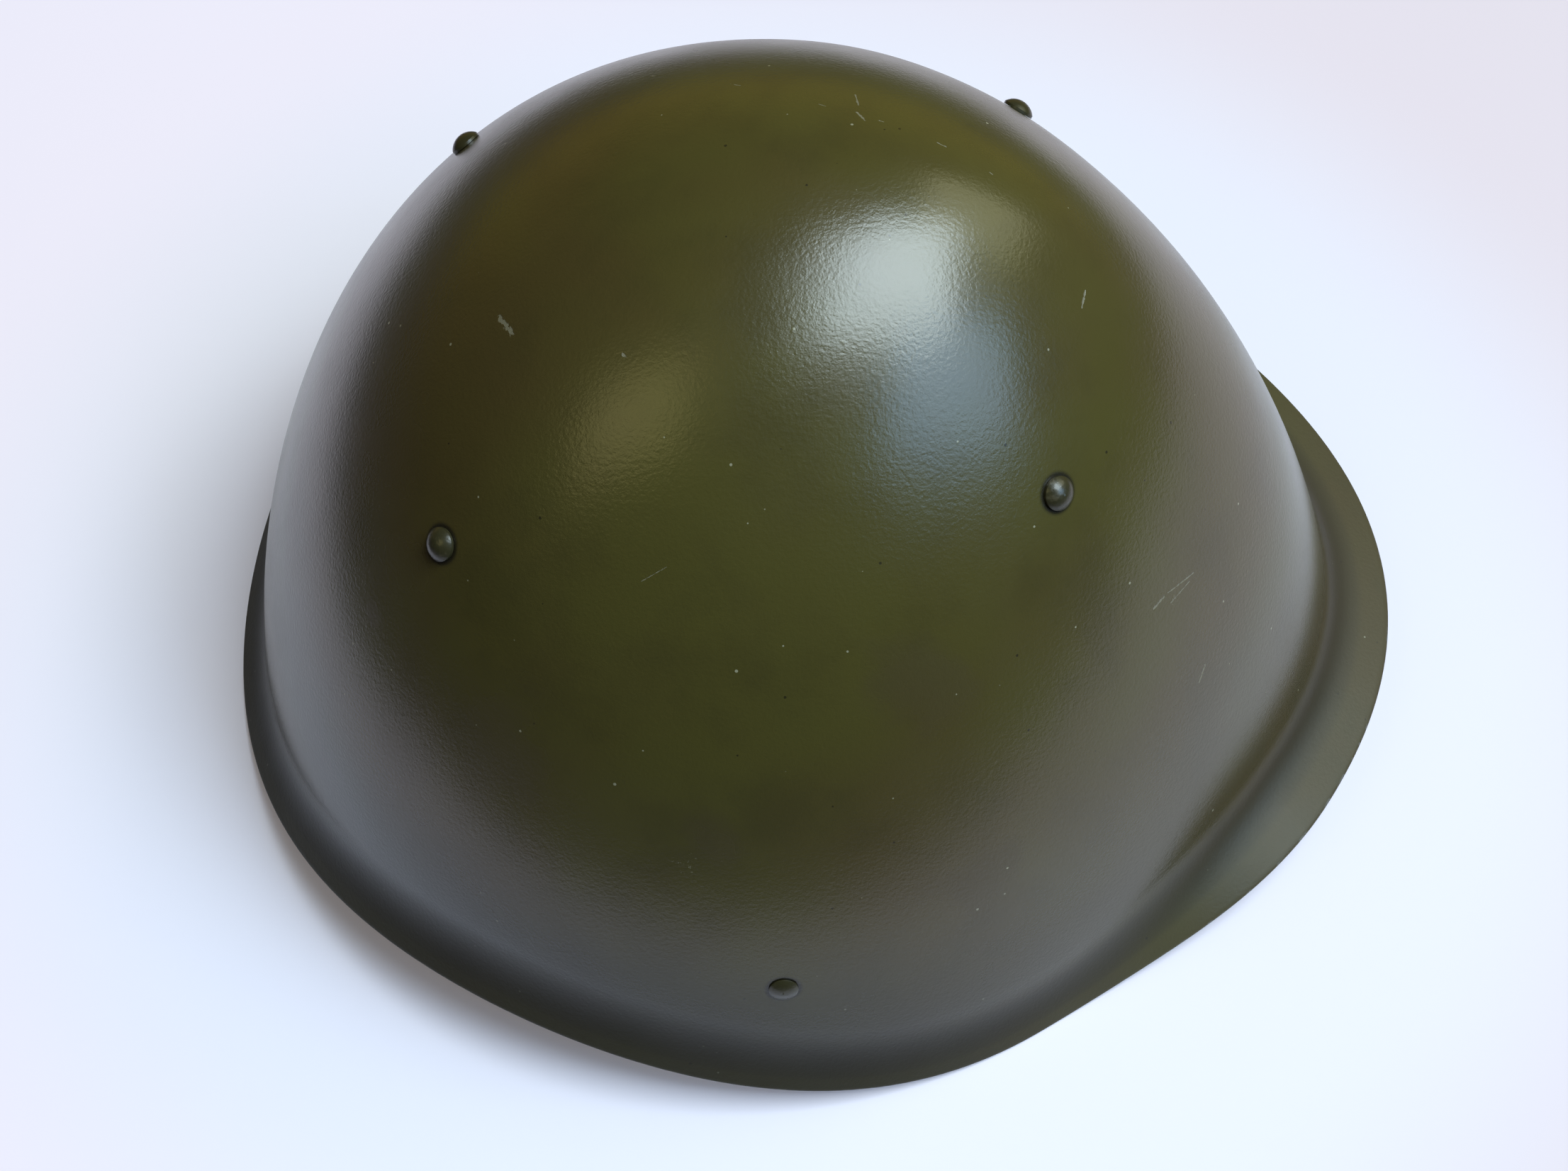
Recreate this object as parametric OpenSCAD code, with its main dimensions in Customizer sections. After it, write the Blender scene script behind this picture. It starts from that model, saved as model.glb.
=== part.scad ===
/* [Shell outline] */
// Half length of the shell where its wall meets the brim
half_length = 129.5; // [122:0.5:138]
// Half width of the shell where its wall meets the brim
half_width = 122; // [116:0.5:130]
// Share by which the front of the outline is narrower than its rear
front_taper = 0.03; // [0:0.005:0.06]
// Share by which the outline is drawn in at its front diagonals
corner_trim = 0.034; // [0:0.002:0.05]
// Thickness of the pressed steel sheet
steel = 1.5; // [1:0.1:2.2]

/* [Dome] */
// Height of the crown above the surface that the helmet stands on
crown_height = 165.5; // [158:0.5:178]
// How far the crown lies in front of the middle of the outline
crown_forward = 6.5; // [0:0.5:12]
// Fullness of the crown towards the front, 2 for an ellipse
front_crown = 2.4; // [2:0.05:2.8]
// Fullness of the crown towards the sides
side_crown = 1.85; // [1.75:0.05:2.4]
// Fullness of the crown towards the rear
rear_crown = 2.1; // [1.85:0.05:2.6]
// Fullness of the front wall, 2 for an ellipse
front_wall = 1.55; // [1.4:0.05:2]
// Fullness of the side walls
side_wall = 1.65; // [1.5:0.05:2.1]
// Fullness of the rear wall
rear_wall = 1.88; // [1.6:0.02:2.2]
// Share of the front wall's reach that is an even slope
front_slant = 0.28; // [0.15:0.01:0.35]
// Share of the side wall's reach that is an even slope
side_slant = 0.115; // [0.05:0.005:0.2]
// Share of the rear wall's reach that is an even slope
rear_slant = 0.09; // [0.03:0.005:0.2]

/* [Brim] */
// Width of the visor at the front, along its slope
visor_width = 16; // [13:0.5:22]
// Width of the brim at the sides
side_brim = 12; // [10:0.5:15]
// Width of the brim at the rear
rear_brim = 12; // [10:0.5:18]
// Slope of the visor below the horizontal, in degrees
visor_slope = 16; // [5:1:35]
// Slope of the brim at the side lobes, in degrees
side_slope = 67; // [50:1:75]
// Slope of the brim at the rear, in degrees
rear_slope = 49; // [30:1:60]
// Height of the visor's edge above the standing surface
visor_rise = 11; // [5:0.5:18]
// Height of the arch in the edge behind the ears
ear_arch = 20.5; // [10:0.5:26]
// Angle from the front over which the visor keeps its full width
visor_spread = 28; // [20:1:40]
// Angle from the front at which the side lobes reach the standing surface
lobe_angle = 67; // [60:1:75]
// Length of each arm of the soft fillet between wall and brim
fillet_arm = 8; // [4:0.5:9]

/* [Rivets] */
// Angle from the front of the two front crown rivets
front_rivet_angle = 49.5; // [46:0.5:53]
// How far the two front crown rivets lie below the crown
front_rivet_drop = 39.7; // [36:0.1:46]
// Angle from the front of the two rear crown rivets
rear_rivet_angle = 144; // [140:0.5:148]
// How far the two rear crown rivets lie below the crown
rear_rivet_drop = 49.7; // [44:0.1:56]
// Angle from the front of the two lower side rivets
side_rivet_angle = 93; // [90:0.5:97]
// Height of the two lower side rivets
side_rivet_height = 44; // [42:0.5:50]
// Diameter of a crown rivet's domed head
crown_head = 6.8; // [6:0.2:8.4]
// Diameter of a side rivet's flatter head
side_head = 6.2; // [5.6:0.2:8]
// Diameter of every rivet's shank in the shell
shank = 3.6; // [3:0.2:4.4]

/* [Liner] */
// Room between head opening and shell outline, front and rear together
end_room = 67; // [61:1:75]
// Room between head opening and shell outline, both sides together
side_room = 83; // [76:1:94]
// How far the middle of the head opening lies behind the middle of the shell
head_back = 6; // [3:0.5:8]
// Room between the crown of the head and the crown of the shell
crown_room = 27.5; // [24:0.5:35]
// Height of the head band's lower edge
band_low = 38; // [36:0.5:42]
// Depth of the head band from its lower to its upper edge
band_depth = 22; // [18:0.5:26]
// Thickness of the leatherette head band
band_thick = 2; // [1.2:0.1:2.6]
// Thickness of a leatherette petal
petal_thick = 1.2; // [0.8:0.1:1.8]
// Half the angle that a petal spans at its root
petal_spread = 36; // [30:0.5:38]
// Angle up the dome of the liner at which the petals end
petal_reach = 75; // [68:0.5:78]
// Depth of the steel hoop that carries the liner
hoop_depth = 18; // [14:0.5:22]
// Thickness of the steel hoop
hoop_thick = 0.8; // [0.6:0.1:1.2]
// Width of the spring strips that hang the hoop from the crown rivets
spring_width = 12; // [9:0.5:14]
// Thickness of the spring strips
spring_thick = 0.8; // [0.6:0.1:1.2]
// How far the wadded pads' lower edges lie above the head band's
pad_rise = 8; // [6:0.5:14]
// How far the wadded pads' upper edges lie below the crown of the head
pad_drop = 40; // [34:1:52]
// Half the angle that a wadded pad spans
pad_spread = 25; // [18:0.5:28]
// Share of the room between liner and shell that a pad fills
pad_fill = 0.72; // [0.4:0.02:0.85]

/* [Chinstrap] */
// Distance from a side rivet down the wall to the hinge of its ring
bracket_drop = 15; // [12:0.5:17]
// Width of the folded bracket
bracket_width = 14; // [11:0.5:17]
// Thickness of the bracket's sheet
bracket_sheet = 1.2; // [0.8:0.1:1.4]
// Diameter of the ring's wire
ring_wire = 3; // [2.4:0.1:3.4]
// Distance between the two long bars of a ring
ring_drop = 18; // [15:0.5:19]
// Width of a ring across its wire's middle
ring_width = 26; // [25:0.5:30]
// Width of the leather straps
strap_width = 18; // [14:0.5:18.5]
// Thickness of the strap leather
strap_thick = 2; // [1.4:0.1:2.4]
// Length over which the long strap is doubled behind its ring
strap_lap = 24; // [18:0.5:28]
// Length of the long strap that lies flat before it folds back
strap_run = 64; // [56:1:70]
// Length of the long strap from its fold to its tip
strap_return = 66; // [58:1:70]
// Distance between the ring bar and the buckle bar of the short strap
short_strap = 50; // [42:0.5:56]
// Diameter of the buckle's wire
buckle_wire = 2.6; // [2.2:0.1:3]
// Length of the buckle between its two bars
buckle_length = 20; // [16:0.5:24]
// Width of the buckle across its wire's middle
buckle_width = 28; // [26:0.5:30]
// Number of punched holes in the long strap
strap_holes = 5; // [3:1:6]
// Distance between two punched holes
hole_pitch = 8.5; // [7:0.5:9]

/* [Hidden] */
// Clearances: a shank in its hole, a part seated on another, and a soft part beside its neighbour
play = 0.05;
seat = 0.25;
soft_gap = 0.35;
// Extra room for a flat piece of sheet inside the curved shell
curve_room = 0.66;
// Number of points round the shell, rows down its dome, rows round its fillet
around = 72;
dome_rows = 13;
fillet_rows = 4;
step = 0.05;

// Reach of the shell to the front and to the rear of the outline's middle
front_reach = half_length + visor_width * cos(visor_slope) + steel / 2 * (1 - sin(visor_slope));
rear_reach = half_length + rear_brim * cos(rear_slope) + steel / 2 * (1 - sin(rear_slope));
middle = (front_reach - rear_reach) / 2;
front_rivet_height = crown_height - front_rivet_drop;
rear_rivet_height = crown_height - rear_rivet_drop;

// Colours of the real thing
olive = [0.30, 0.31, 0.20];
zinc = [0.62, 0.62, 0.60];
leatherette = [0.36, 0.26, 0.17];
cotton = [0.62, 0.58, 0.47];
leather = [0.33, 0.20, 0.12];

// Small helpers
function unit(v) = v / norm(v);
function mix(a, b, s) = a + (b - a) * s;
function fade(u) = u <= 0 ? 1 : u >= 1 ? 0 : pow(cos(90 * u), 2);
function bezier2(a, b, c, s) = mix(mix(a, b, s), mix(b, c, s), s);
function bezier3(a, b, c, d, s) = mix(bezier2(a, b, c, s), bezier2(b, c, d, s), s);
function sum(list, i = 0) = i == len(list) - 1 ? list[i] : list[i] + sum(list, i + 1);
function mean(list) = sum(list) / len(list);

// How much of the visor and of the tail there is at an angle from the front
function off(a) = min(abs(a), 360 - abs(a));
function visor(a) = fade((off(a) - visor_spread) / (lobe_angle - visor_spread));
function behind(a) = min(1, max(0, (off(a) - lobe_angle) / (180 - lobe_angle)));
function tail(a) = 1 - fade(behind(a));
function round_rim(a, f, s, r) = s + (f - s) * visor(a) + (r - s) * tail(a);
function round_dome(a, f, s, r) =
    s + (f - s) * pow(max(cos(a), 0), 2) + (r - s) * pow(max(-cos(a), 0), 2);

// Outline of the shell where wall and brim meet, and its outward normal
function trim(a) = 1 - corner_trim * (1 + cos(a)) * pow(sin(2 * a), 2);
function outline(a) = [half_length * cos(a) * trim(a) - middle,
    half_width * sin(a) * (1 - front_taper * cos(a)) * trim(a)];
function outline_normal(a) =
    let(along = unit(outline(a + step) - outline(a - step))) [along.y, -along.x];

// Edge of the rim, root of the brim and points across the brim
function brim_width(a) = round_rim(a, visor_width, side_brim, rear_brim);
function brim_slope(a) = round_rim(a, visor_slope, side_slope, rear_slope);
function edge_z(a) = visor_rise * visor(a) + ear_arch * pow(sin(180 * behind(a)), 2)
    + steel / 2 * (1 + cos(brim_slope(a)));
function root_z(a) = edge_z(a) + brim_width(a) * sin(brim_slope(a));
function brim(a, s) =
    let(p = outline(a) + outline_normal(a) * brim_width(a) * cos(brim_slope(a)) * s)
    [p.x, p.y, root_z(a) - brim_width(a) * sin(brim_slope(a)) * s];

// Dome of the shell from its crown, t = 0, to the root of the brim, t = 90
function wall_power(a) = round_dome(a, front_wall, side_wall, rear_wall);
function dome(a, t) =
    let(p = outline(a), slant = round_dome(a, front_slant, side_slant, rear_slant),
        fall = 1 - pow(cos(t), 2 / wall_power(a)),
        reach = (1 - slant) * pow(sin(t), 2 / round_dome(a, front_crown, side_crown, rear_crown))
            + slant * fall,
        top = crown_forward - middle)
    [top + (p.x - top) * reach, p.y * reach, crown_height - (crown_height - root_z(a)) * fall];
function dome_t(a, z) =
    acos(pow(max(0, (z - root_z(a)) / (crown_height - root_z(a))), wall_power(a) / 2));
function dome_down(a, t) = unit(dome(a, t + step) - dome(a, t - step));
function dome_normal(a, t) =
    unit(cross(dome_down(a, t), dome(a + step, t) - dome(a - step, t)));

// Whole outer face: dome for v up to 1, fillet up to 2, brim up to 3
function fillet_share(a) = min(0.7, fillet_arm / brim_width(a));
function face(a, v) =
    let(t = dome_t(a, root_z(a) + fillet_arm))
    v <= 1 ? dome(a, t * v)
    : v <= 2 ? bezier2(dome(a, t), brim(a, 0), brim(a, fillet_share(a)), v - 1)
    : brim(a, mix(fillet_share(a), 1, v - 2));
function face_normal(a, v) = unit(cross(face(a, v + step / 5) - face(a, v - step / 5),
    face(a + step, v) - face(a - step, v)));
// Face of the shell at a depth below the outer one
function below(a, v, depth) = face(a, v) - face_normal(a, v) * depth;
// Half-round edge of the rim, turned by w from the outer to the inner face
function rim_round(a, w) =
    let(n = face_normal(a, 3), out = unit(brim(a, 1) - brim(a, 0)))
    brim(a, 1) + n * (sin(w) - 1) * steel / 2 + out * cos(w) * steel / 2;

// Closed solid through rings of points, each end closed by a fan or, where a ring runs out and
// back along a sheet, by a ladder across the sheet
module loft(rings, ladder = false) {
    n = len(rings[0]);
    m = len(rings);
    points = [for (ring = rings, p = ring) p];
    sides = [for (j = [0 : m - 2], i = [0 : n - 1], half = [0, 1])
        let(k = (i + 1) % n, a = j * n + i, b = j * n + k)
        half == 0 ? [a, b, b + n] : [a, b + n, a + n]];
    fans = [for (i = [0 : n - 1], end = [0, 1])
        let(k = (i + 1) % n)
        end == 0 ? [k, i, m * n] : [(m - 1) * n + i, (m - 1) * n + k, m * n + 1]];
    rungs = [for (i = [0 : n / 2 - 2], end = [0, 1], half = [0, 1])
        let(o = end * (m - 1) * n, a = o + i, b = o + i + 1, c = o + n - 2 - i, d = o + n - 1 - i)
        end == 0 ? (half == 0 ? [c, b, a] : [d, c, a]) : (half == 0 ? [a, b, c] : [a, c, d])];
    polyhedron(points = ladder ? points : concat(points, [mean(rings[0]), mean(rings[m - 1])]),
        faces = concat(sides, ladder ? rungs : fans), convexity = 6);
}

// Places its children on the outer face, +Z outward and +X down the wall
module on_wall(a, z) {
    t = dome_t(a, z);
    p = dome(a, t);
    n = dome_normal(a, t);
    d = dome_down(a, t);
    s = cross(n, d);
    multmatrix([[d.x, s.x, n.x, p.x], [d.y, s.y, n.y, p.y], [d.z, s.z, n.z, p.z], [0, 0, 0, 1]])
        children();
}

// Straight or bent strip of sheet along a path, w wide and h thick, its face towards the normals
function tangents(path) = [for (i = [0 : len(path) - 1])
    unit(path[min(i + 1, len(path) - 1)] - path[max(i - 1, 0)])];
function strip_ring(p, t, n, w, h) =
    let(s = unit(cross(n, t)), m = cross(t, s))
    [for (c = [[-1, 1], [1, 1], [1, -1], [-1, -1]]) p + s * c[0] * w / 2 + m * c[1] * h / 2];
module strip(path, normals, widths, h) {
    t = tangents(path);
    loft([for (i = [0 : len(path) - 1]) strip_ring(path[i], t[i], normals[i], widths[i], h)]);
}

// Domed head of a rivet and a whole rivet, its head on z = 0 and its tail below the grip
module cap(d, h) {
    ball = (pow(d / 2, 2) + h * h) / (2 * h);
    intersection() {
        translate([0, 0, h - ball]) sphere(r = ball, $fn = 96);
        cylinder(d = 2 * d, h = 2 * h);
    }
}
module button(d, h, edge) {
    cylinder(d = d, h = edge, $fn = 48);
    translate([0, 0, edge]) cap(d, h - edge);
}
module rivet(head, head_h, grip, body) {
    button(head, head_h, head_h * 0.25);
    translate([0, 0, -grip]) cylinder(d = body, h = grip + head_h / 4, $fn = 48);
    translate([0, 0, -grip]) mirror([0, 0, 1]) button(body * 1.7, body * 0.35, body * 0.1);
}

// Wire bent round closed corners in the XY plane, with bends of one radius
module wire_leg(a, b, r) {
    translate([a.x, a.y, 0]) rotate([0, 90, atan2(b.y - a.y, b.x - a.x)])
        cylinder(r = r, h = norm(b - a), $fn = 32);
}
module bent_wire(corners, bend, r) {
    n = len(corners);
    function to(i) = unit(corners[(i + 1) % n] - corners[i]);
    function from(i) = unit(corners[i] - corners[(i + n - 1) % n]);
    function turn(i) = acos(to(i) * from(i));
    function cut(i) = bend * tan(turn(i) / 2);
    for (i = [0 : n - 1]) {
        next = (i + 1) % n;
        wire_leg(corners[i] + to(i) * cut(i), corners[next] - to(i) * cut(next), r);
        start = corners[i] - from(i) * cut(i);
        centre = start + [-from(i).y, from(i).x] * bend;
        translate([centre.x, centre.y, 0])
            rotate([0, 0, atan2(start.y - centre.y, start.x - centre.x)])
            rotate_extrude(angle = turn(i), $fn = 64) translate([bend, 0]) circle(r = r, $fn = 32);
    }
}

// Size of the head opening
head_length = 2 * half_length - end_room;
head_width = 2 * half_width - side_room;
head_top = crown_height - crown_room;

// Depths of the liner's layers outside the head opening, and where its dome begins
petal_in = band_thick + soft_gap;
petal_out = petal_in + petal_thick;
hoop_in = petal_out + soft_gap;
hoop_out = hoop_in + hoop_thick;
pad_in = hoop_out + soft_gap;
band_high = band_low + band_depth;
hoop_low = band_low + (band_depth - hoop_depth) / 2;
hoop_high = hoop_low + hoop_depth;
pad_low = band_low + pad_rise;
pad_high = head_top - pad_drop;

// Surface round the head, upright up to the hoop's top and domed above it
function head_share(z, out) =
    z <= hoop_high ? 1 : sqrt(max(0, 1 - pow((z - hoop_high) / (head_top + out - hoop_high), 2)));
function head_at(phi, z, out) =
    let(c = head_share(z, out))
    [(head_length / 2 + out) * cos(phi) * c - head_back, (head_width / 2 + out) * sin(phi) * c, z];
function head_z(row, out) = row < 0 ? hoop_high + row : hoop_high
    + (head_top + out - hoop_high) * sin(row);
function head_normal(phi, z) =
    unit(cross(head_at(phi + 1, z, petal_in) - head_at(phi - 1, z, petal_in),
        head_at(phi, z + 0.5, petal_in) - head_at(phi, z - 0.5, petal_in)));
function oval(out) = [for (i = [0 : 71])
    [(head_length / 2 + out) * cos(5 * i) - head_back, (head_width / 2 + out) * sin(5 * i)]];
module oval_ring(inside, outside, low, high) {
    translate([0, 0, low]) linear_extrude(high - low) difference() {
        polygon(oval(outside));
        polygon(oval(inside));
    }
}

// Places its children on the hoop's outer face, +Z outward
module on_hoop(phi, z) {
    p = head_at(phi, z, hoop_out);
    n = head_normal(phi, hoop_low);
    multmatrix([[0, n.y, n.x, p.x], [0, -n.x, n.y, p.y], [-1, 0, 0, p.z], [0, 0, 0, 1]])
        children();
}

// The pressed shell, one sheet from crown to rim, with the six rivet holes
module steel_shell() {
    rows = concat([0.015], [for (i = [1 : dome_rows]) i / dome_rows],
        [for (i = [1 : fillet_rows]) 1 + i / fillet_rows], [2.5, 3]);
    angles = [for (i = [0 : around - 1]) 360 * i / around];
    outer = [for (v = rows) [for (a = angles) face(a, v)]];
    rim = [for (w = [45, 0, -45]) [for (a = angles) rim_round(a, w)]];
    inner = [for (j = [len(rows) - 1 : -1 : 0]) [for (a = angles) below(a, rows[j], steel)]];
    color(olive) difference() {
        loft(concat(outer, rim, inner));
        for (side = [1, -1]) {
            rivet_bore(side * front_rivet_angle, front_rivet_height);
            rivet_bore(side * rear_rivet_angle, rear_rivet_height);
            rivet_bore(side * side_rivet_angle, side_rivet_height);
        }
    }
}
module rivet_bore(a, z) {
    on_wall(a, z) cylinder(r = shank / 2 + play, h = 30, center = true, $fn = 48);
}

// Crown rivets, each through the shell and the tab of a spring strip
module crown_rivet(a, z) {
    color(olive) on_wall(a, z) translate([0, 0, play])
        rivet(crown_head, crown_head * 0.34, steel + tab_seat + spring_thick + 3 * play, shank);
}
module crown_rivet_front_left() { crown_rivet(front_rivet_angle, front_rivet_height); }
module crown_rivet_front_right() { crown_rivet(-front_rivet_angle, front_rivet_height); }
module crown_rivet_rear_left() { crown_rivet(rear_rivet_angle, rear_rivet_height); }
module crown_rivet_rear_right() { crown_rivet(-rear_rivet_angle, rear_rivet_height); }

// Spring strips: a tab under the crown rivet, a free bend and a foot on the hoop
tab_reach = spring_width * 0.6;
tab_seat = seat + curve_room / 2;
function hoop_angle(a, z) =
    let(p = dome(a, dome_t(a, z)))
    atan2(p.y / (head_width / 2 + hoop_out), (p.x + head_back) / (head_length / 2 + hoop_out));
function under_shell(a, z, s) =
    let(t = dome_t(a, z), t2 = t + s / norm(dome(a, t + 0.5) - dome(a, t - 0.5)))
    [dome(a, t2) - dome_normal(a, t2) * (steel + tab_seat + spring_thick / 2), dome_normal(a, t2)];
module spring(a, z) {
    tab = [for (s = [-1, -0.85, -0.5, 0, 0.5, 1]) under_shell(a, z, s * tab_reach)];
    phi = hoop_angle(a, z);
    n = head_normal(phi, hoop_low);
    foot = head_at(phi, hoop_high, hoop_out + seat + spring_thick / 2);
    start = tab[len(tab) - 1][0];
    lead = tab[len(tab) - 1][0] - tab[len(tab) - 2][0];
    bend = (start.z - foot.z) * 0.45;
    inward = unit(unit(lead) - tab[len(tab) - 1][1] * 0.22);
    free = [for (i = [1 : 10])
        [bezier3(start, start + inward * bend, foot + [0, 0, bend], foot, i / 10),
            unit(mix(tab[len(tab) - 1][1], n, i / 10))]];
    end = [for (s = [0.45, 0.85, 0.95]) [foot - [0, 0, s * hoop_depth], n]];
    line = concat(tab, free, end);
    ends = [0.6, 0.85];
    widths = [for (i = [0 : len(line) - 1])
        spring_width * (i < 2 ? ends[i] : i == len(line) - 1 ? 0.85 : 1)];
    color(zinc) difference() {
        strip([for (l = line) l[0]], [for (l = line) l[1]], widths, spring_thick);
        rivet_bore(a, z);
        for (share = hoop_rivet_shares) hoop_rivet_bore(phi, share);
    }
}
module spring_front_left() { spring(front_rivet_angle, front_rivet_height); }
module spring_front_right() { spring(-front_rivet_angle, front_rivet_height); }
module spring_rear_left() { spring(rear_rivet_angle, rear_rivet_height); }
module spring_rear_right() { spring(-rear_rivet_angle, rear_rivet_height); }

// The hoop and the eight small rivets that hold the springs' feet on it
hoop_rivet_shares = [0.28, 0.72];
hoop_shank = 2.4;
hoop_feet = [for (side = [1, -1]) for (p = [[front_rivet_angle, front_rivet_height],
    [rear_rivet_angle, rear_rivet_height]]) hoop_angle(side * p[0], p[1])];
module hoop_rivet_bore(phi, share) {
    on_hoop(phi, mix(hoop_low, hoop_high, share))
        cylinder(r = hoop_shank / 2 + play, h = 8, center = true, $fn = 32);
}
module liner_hoop() {
    color(zinc) difference() {
        oval_ring(hoop_in, hoop_out, hoop_low, hoop_high);
        for (phi = hoop_feet, share = hoop_rivet_shares) hoop_rivet_bore(phi, share);
    }
}
module hoop_rivets() {
    color(zinc) for (phi = hoop_feet, share = hoop_rivet_shares)
        on_hoop(phi, mix(hoop_low, hoop_high, share))
            translate([0, 0, seat + spring_thick + play])
            rivet(hoop_shank * 2, 1, hoop_thick + spring_thick + seat + 5 * play, hoop_shank);
}

// Leatherette band round the head
module head_band() {
    color(leatherette) oval_ring(0, band_thick, band_low, band_high);
}

// Four leatherette petals, tucked between band and hoop, with a pair of eyelets in each tip
eyelet_row = petal_reach - 6.7;
eyelet_gap = 12;
eyelet_bore = 3.6;
function petal_half(row) =
    let(s = max(0, row / petal_reach - 0.84) / 0.16)
    petal_spread * (1 - 0.18 * max(0, sin(row))) * sqrt(1 - 0.6 * s * s);
function petal_ring(centre, row) =
    let(half = petal_half(row))
    concat([for (i = [6 : -1 : -6]) skin(centre + half * i / 6, row, petal_out)],
        [for (i = [-6 : 6]) skin(centre + half * i / 6, row, petal_in)]);
function skin(phi, row, out) = head_at(phi, head_z(row, out), out);
function eyelet_turn(centre) =
    let(p = skin(centre, eyelet_row, petal_out), q = skin(centre + 1, eyelet_row, petal_out))
    eyelet_gap / 2 / norm(q - p);
module at_eyelets(centre) {
    for (side = [1, -1]) {
        phi = centre + side * eyelet_turn(centre);
        p = (skin(phi, eyelet_row, petal_in) + skin(phi, eyelet_row, petal_out)) / 2;
        n = unit(cross(skin(phi + 1, eyelet_row, petal_out) - skin(phi - 1, eyelet_row, petal_out),
            skin(phi, eyelet_row + 1, petal_out) - skin(phi, eyelet_row - 1, petal_out)));
        u = unit(cross([0, 1, 0], n));
        w = cross(n, u);
        multmatrix([[u.x, w.x, n.x, p.x], [u.y, w.y, n.y, p.y], [u.z, w.z, n.z, p.z],
            [0, 0, 0, 1]]) children();
    }
}
module petal(centre) {
    rows = [for (row = [-hoop_depth * 0.85, -hoop_depth * 0.4, 0]) row,
        for (i = [1 : 7]) petal_reach * i / 8, petal_reach * 0.94, petal_reach];
    color(leatherette) difference() {
        loft([for (row = rows) petal_ring(centre, row)], ladder = true);
        at_eyelets(centre) cylinder(r = eyelet_bore / 2 + 0.7, h = 8, center = true, $fn = 32);
    }
}
module petal_front() { petal(0); }
module petal_left() { petal(90); }
module petal_rear() { petal(180); }
module petal_right() { petal(270); }
module petal_eyelets() {
    flange = petal_thick / 2 + 0.15;
    profile = [[0, -flange - 0.35], [1.6, -flange - 0.35], [1.6, -flange], [0.6, -flange],
        [0.6, flange], [1.6, flange], [1.6, flange + 0.35], [0, flange + 0.35]];
    color(zinc) for (centre = [0 : 90 : 270]) at_eyelets(centre)
        rotate_extrude($fn = 48) translate([eyelet_bore / 2, 0]) polygon(profile);
}

// Four wadded pads between the liner and the shell, with crown, drawn-in sides and one tuft
function wall_behind(p) =
    let(a = atan2(p.y / half_width, (p.x + middle) / half_length), t = dome_t(a, p.z))
    dome(a, t) - dome_normal(a, t) * (steel + 2 * soft_gap);
function pillow(u, w) = sqrt((1 - pow(abs(u), 3)) * (1 - pow(abs(w), 3)))
    * (1 - 0.35 * exp(-18 * (u * u + w * w)));
function pad_phi(centre, u, w) = centre + pad_spread * u * (1 - 0.07 * (1 - w * w));
function pad_z(u, w) =
    mix(pad_low, pad_high, 0.5 + 0.5 * w * (1 - 0.06 * (1 - u * u)));
function pad_point(centre, u, w, skin) =
    let(phi = pad_phi(centre, u, w), z = pad_z(u, w))
    skin == 0 ? head_at(phi, z, pad_in)
    : let(edge = head_at(phi, z, pad_in + 1.2)) mix(edge, wall_behind(edge), pad_fill * pillow(u, w));
module pad(centre) {
    u = [for (i = [-6 : 6]) sin(15 * i)];
    w = [for (i = [-5 : 5]) sin(18 * i)];
    color(cotton) loft([for (b = w) concat([for (i = [12 : -1 : 0]) pad_point(centre, u[i], b, 1)],
        [for (i = [0 : 12]) pad_point(centre, u[i], b, 0)])], ladder = true);
}
module pad_front() { pad(0); }
module pad_left() { pad(90); }
module pad_rear() { pad(180); }
module pad_right() { pad(270); }

// Frame of the strap hardware at the left side rivet, square to the length of the helmet
bracket_seat = seat + curve_room;
side_t = dome_t(side_rivet_angle, side_rivet_height);
side_point = dome(side_rivet_angle, side_t);
bracket_above = 8;
side_top = dome(side_rivet_angle, dome_t(side_rivet_angle, side_rivet_height + bracket_above));
side_low = dome(side_rivet_angle, dome_t(side_rivet_angle, side_rivet_height - bracket_drop));
side_lean = atan2(side_low.y - side_top.y, side_top.z - side_low.z);
side_out = [0, cos(side_lean), sin(side_lean)];
side_down = [0, sin(side_lean), -cos(side_lean)];
ring_hole = ring_wire / 2 + play;
hinge_depth = steel + bracket_seat + bracket_sheet + ring_hole;
hinge = side_point - side_out * hinge_depth + side_down * bracket_drop;
ring_bar = hinge - [0, 0, ring_drop];
module right_side() { mirror([0, 1, 0]) children(); }

// Side rivets, each through the shell and both legs of a bracket
module side_rivet_left() {
    color(olive) on_wall(side_rivet_angle, side_rivet_height) translate([0, 0, play])
        rivet(side_head, side_head * 0.2, steel + bracket_seat + 2 * bracket_sheet + 6 * play, shank);
}
module side_rivet_right() { right_side() side_rivet_left(); }

// Brackets of folded sheet: one leg on the wall, a loop for the ring, the other leg back up
function loop_arc(centre, r) =
    [for (i = [0 : 12]) let(w = mix(115, -90, i / 12)) centre + r * [cos(w), sin(w)]];
module strap_bracket_left() {
    jog = bracket_drop - ring_hole - 3.5;
    low = steel + bracket_seat;
    near = low + bracket_sheet;
    far = near + bracket_sheet;
    eye = [bracket_drop, near + ring_hole];
    color(zinc) difference() {
        multmatrix([[0, 0, -1, side_point.x], [side_down.y, -side_out.y, 0, side_point.y],
            [side_down.z, -side_out.z, 0, side_point.z], [0, 0, 0, 1]])
            linear_extrude(bracket_width, center = true) difference() {
                polygon(concat([[-bracket_above, low], [-bracket_above, far], [jog - 2.5, far]],
                    loop_arc(eye, ring_hole + bracket_sheet)));
                polygon(concat([[jog, near]], loop_arc(eye, ring_hole)));
            }
        rivet_bore(side_rivet_angle, side_rivet_height);
    }
}
module strap_bracket_right() { right_side() strap_bracket_left(); }

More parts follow.
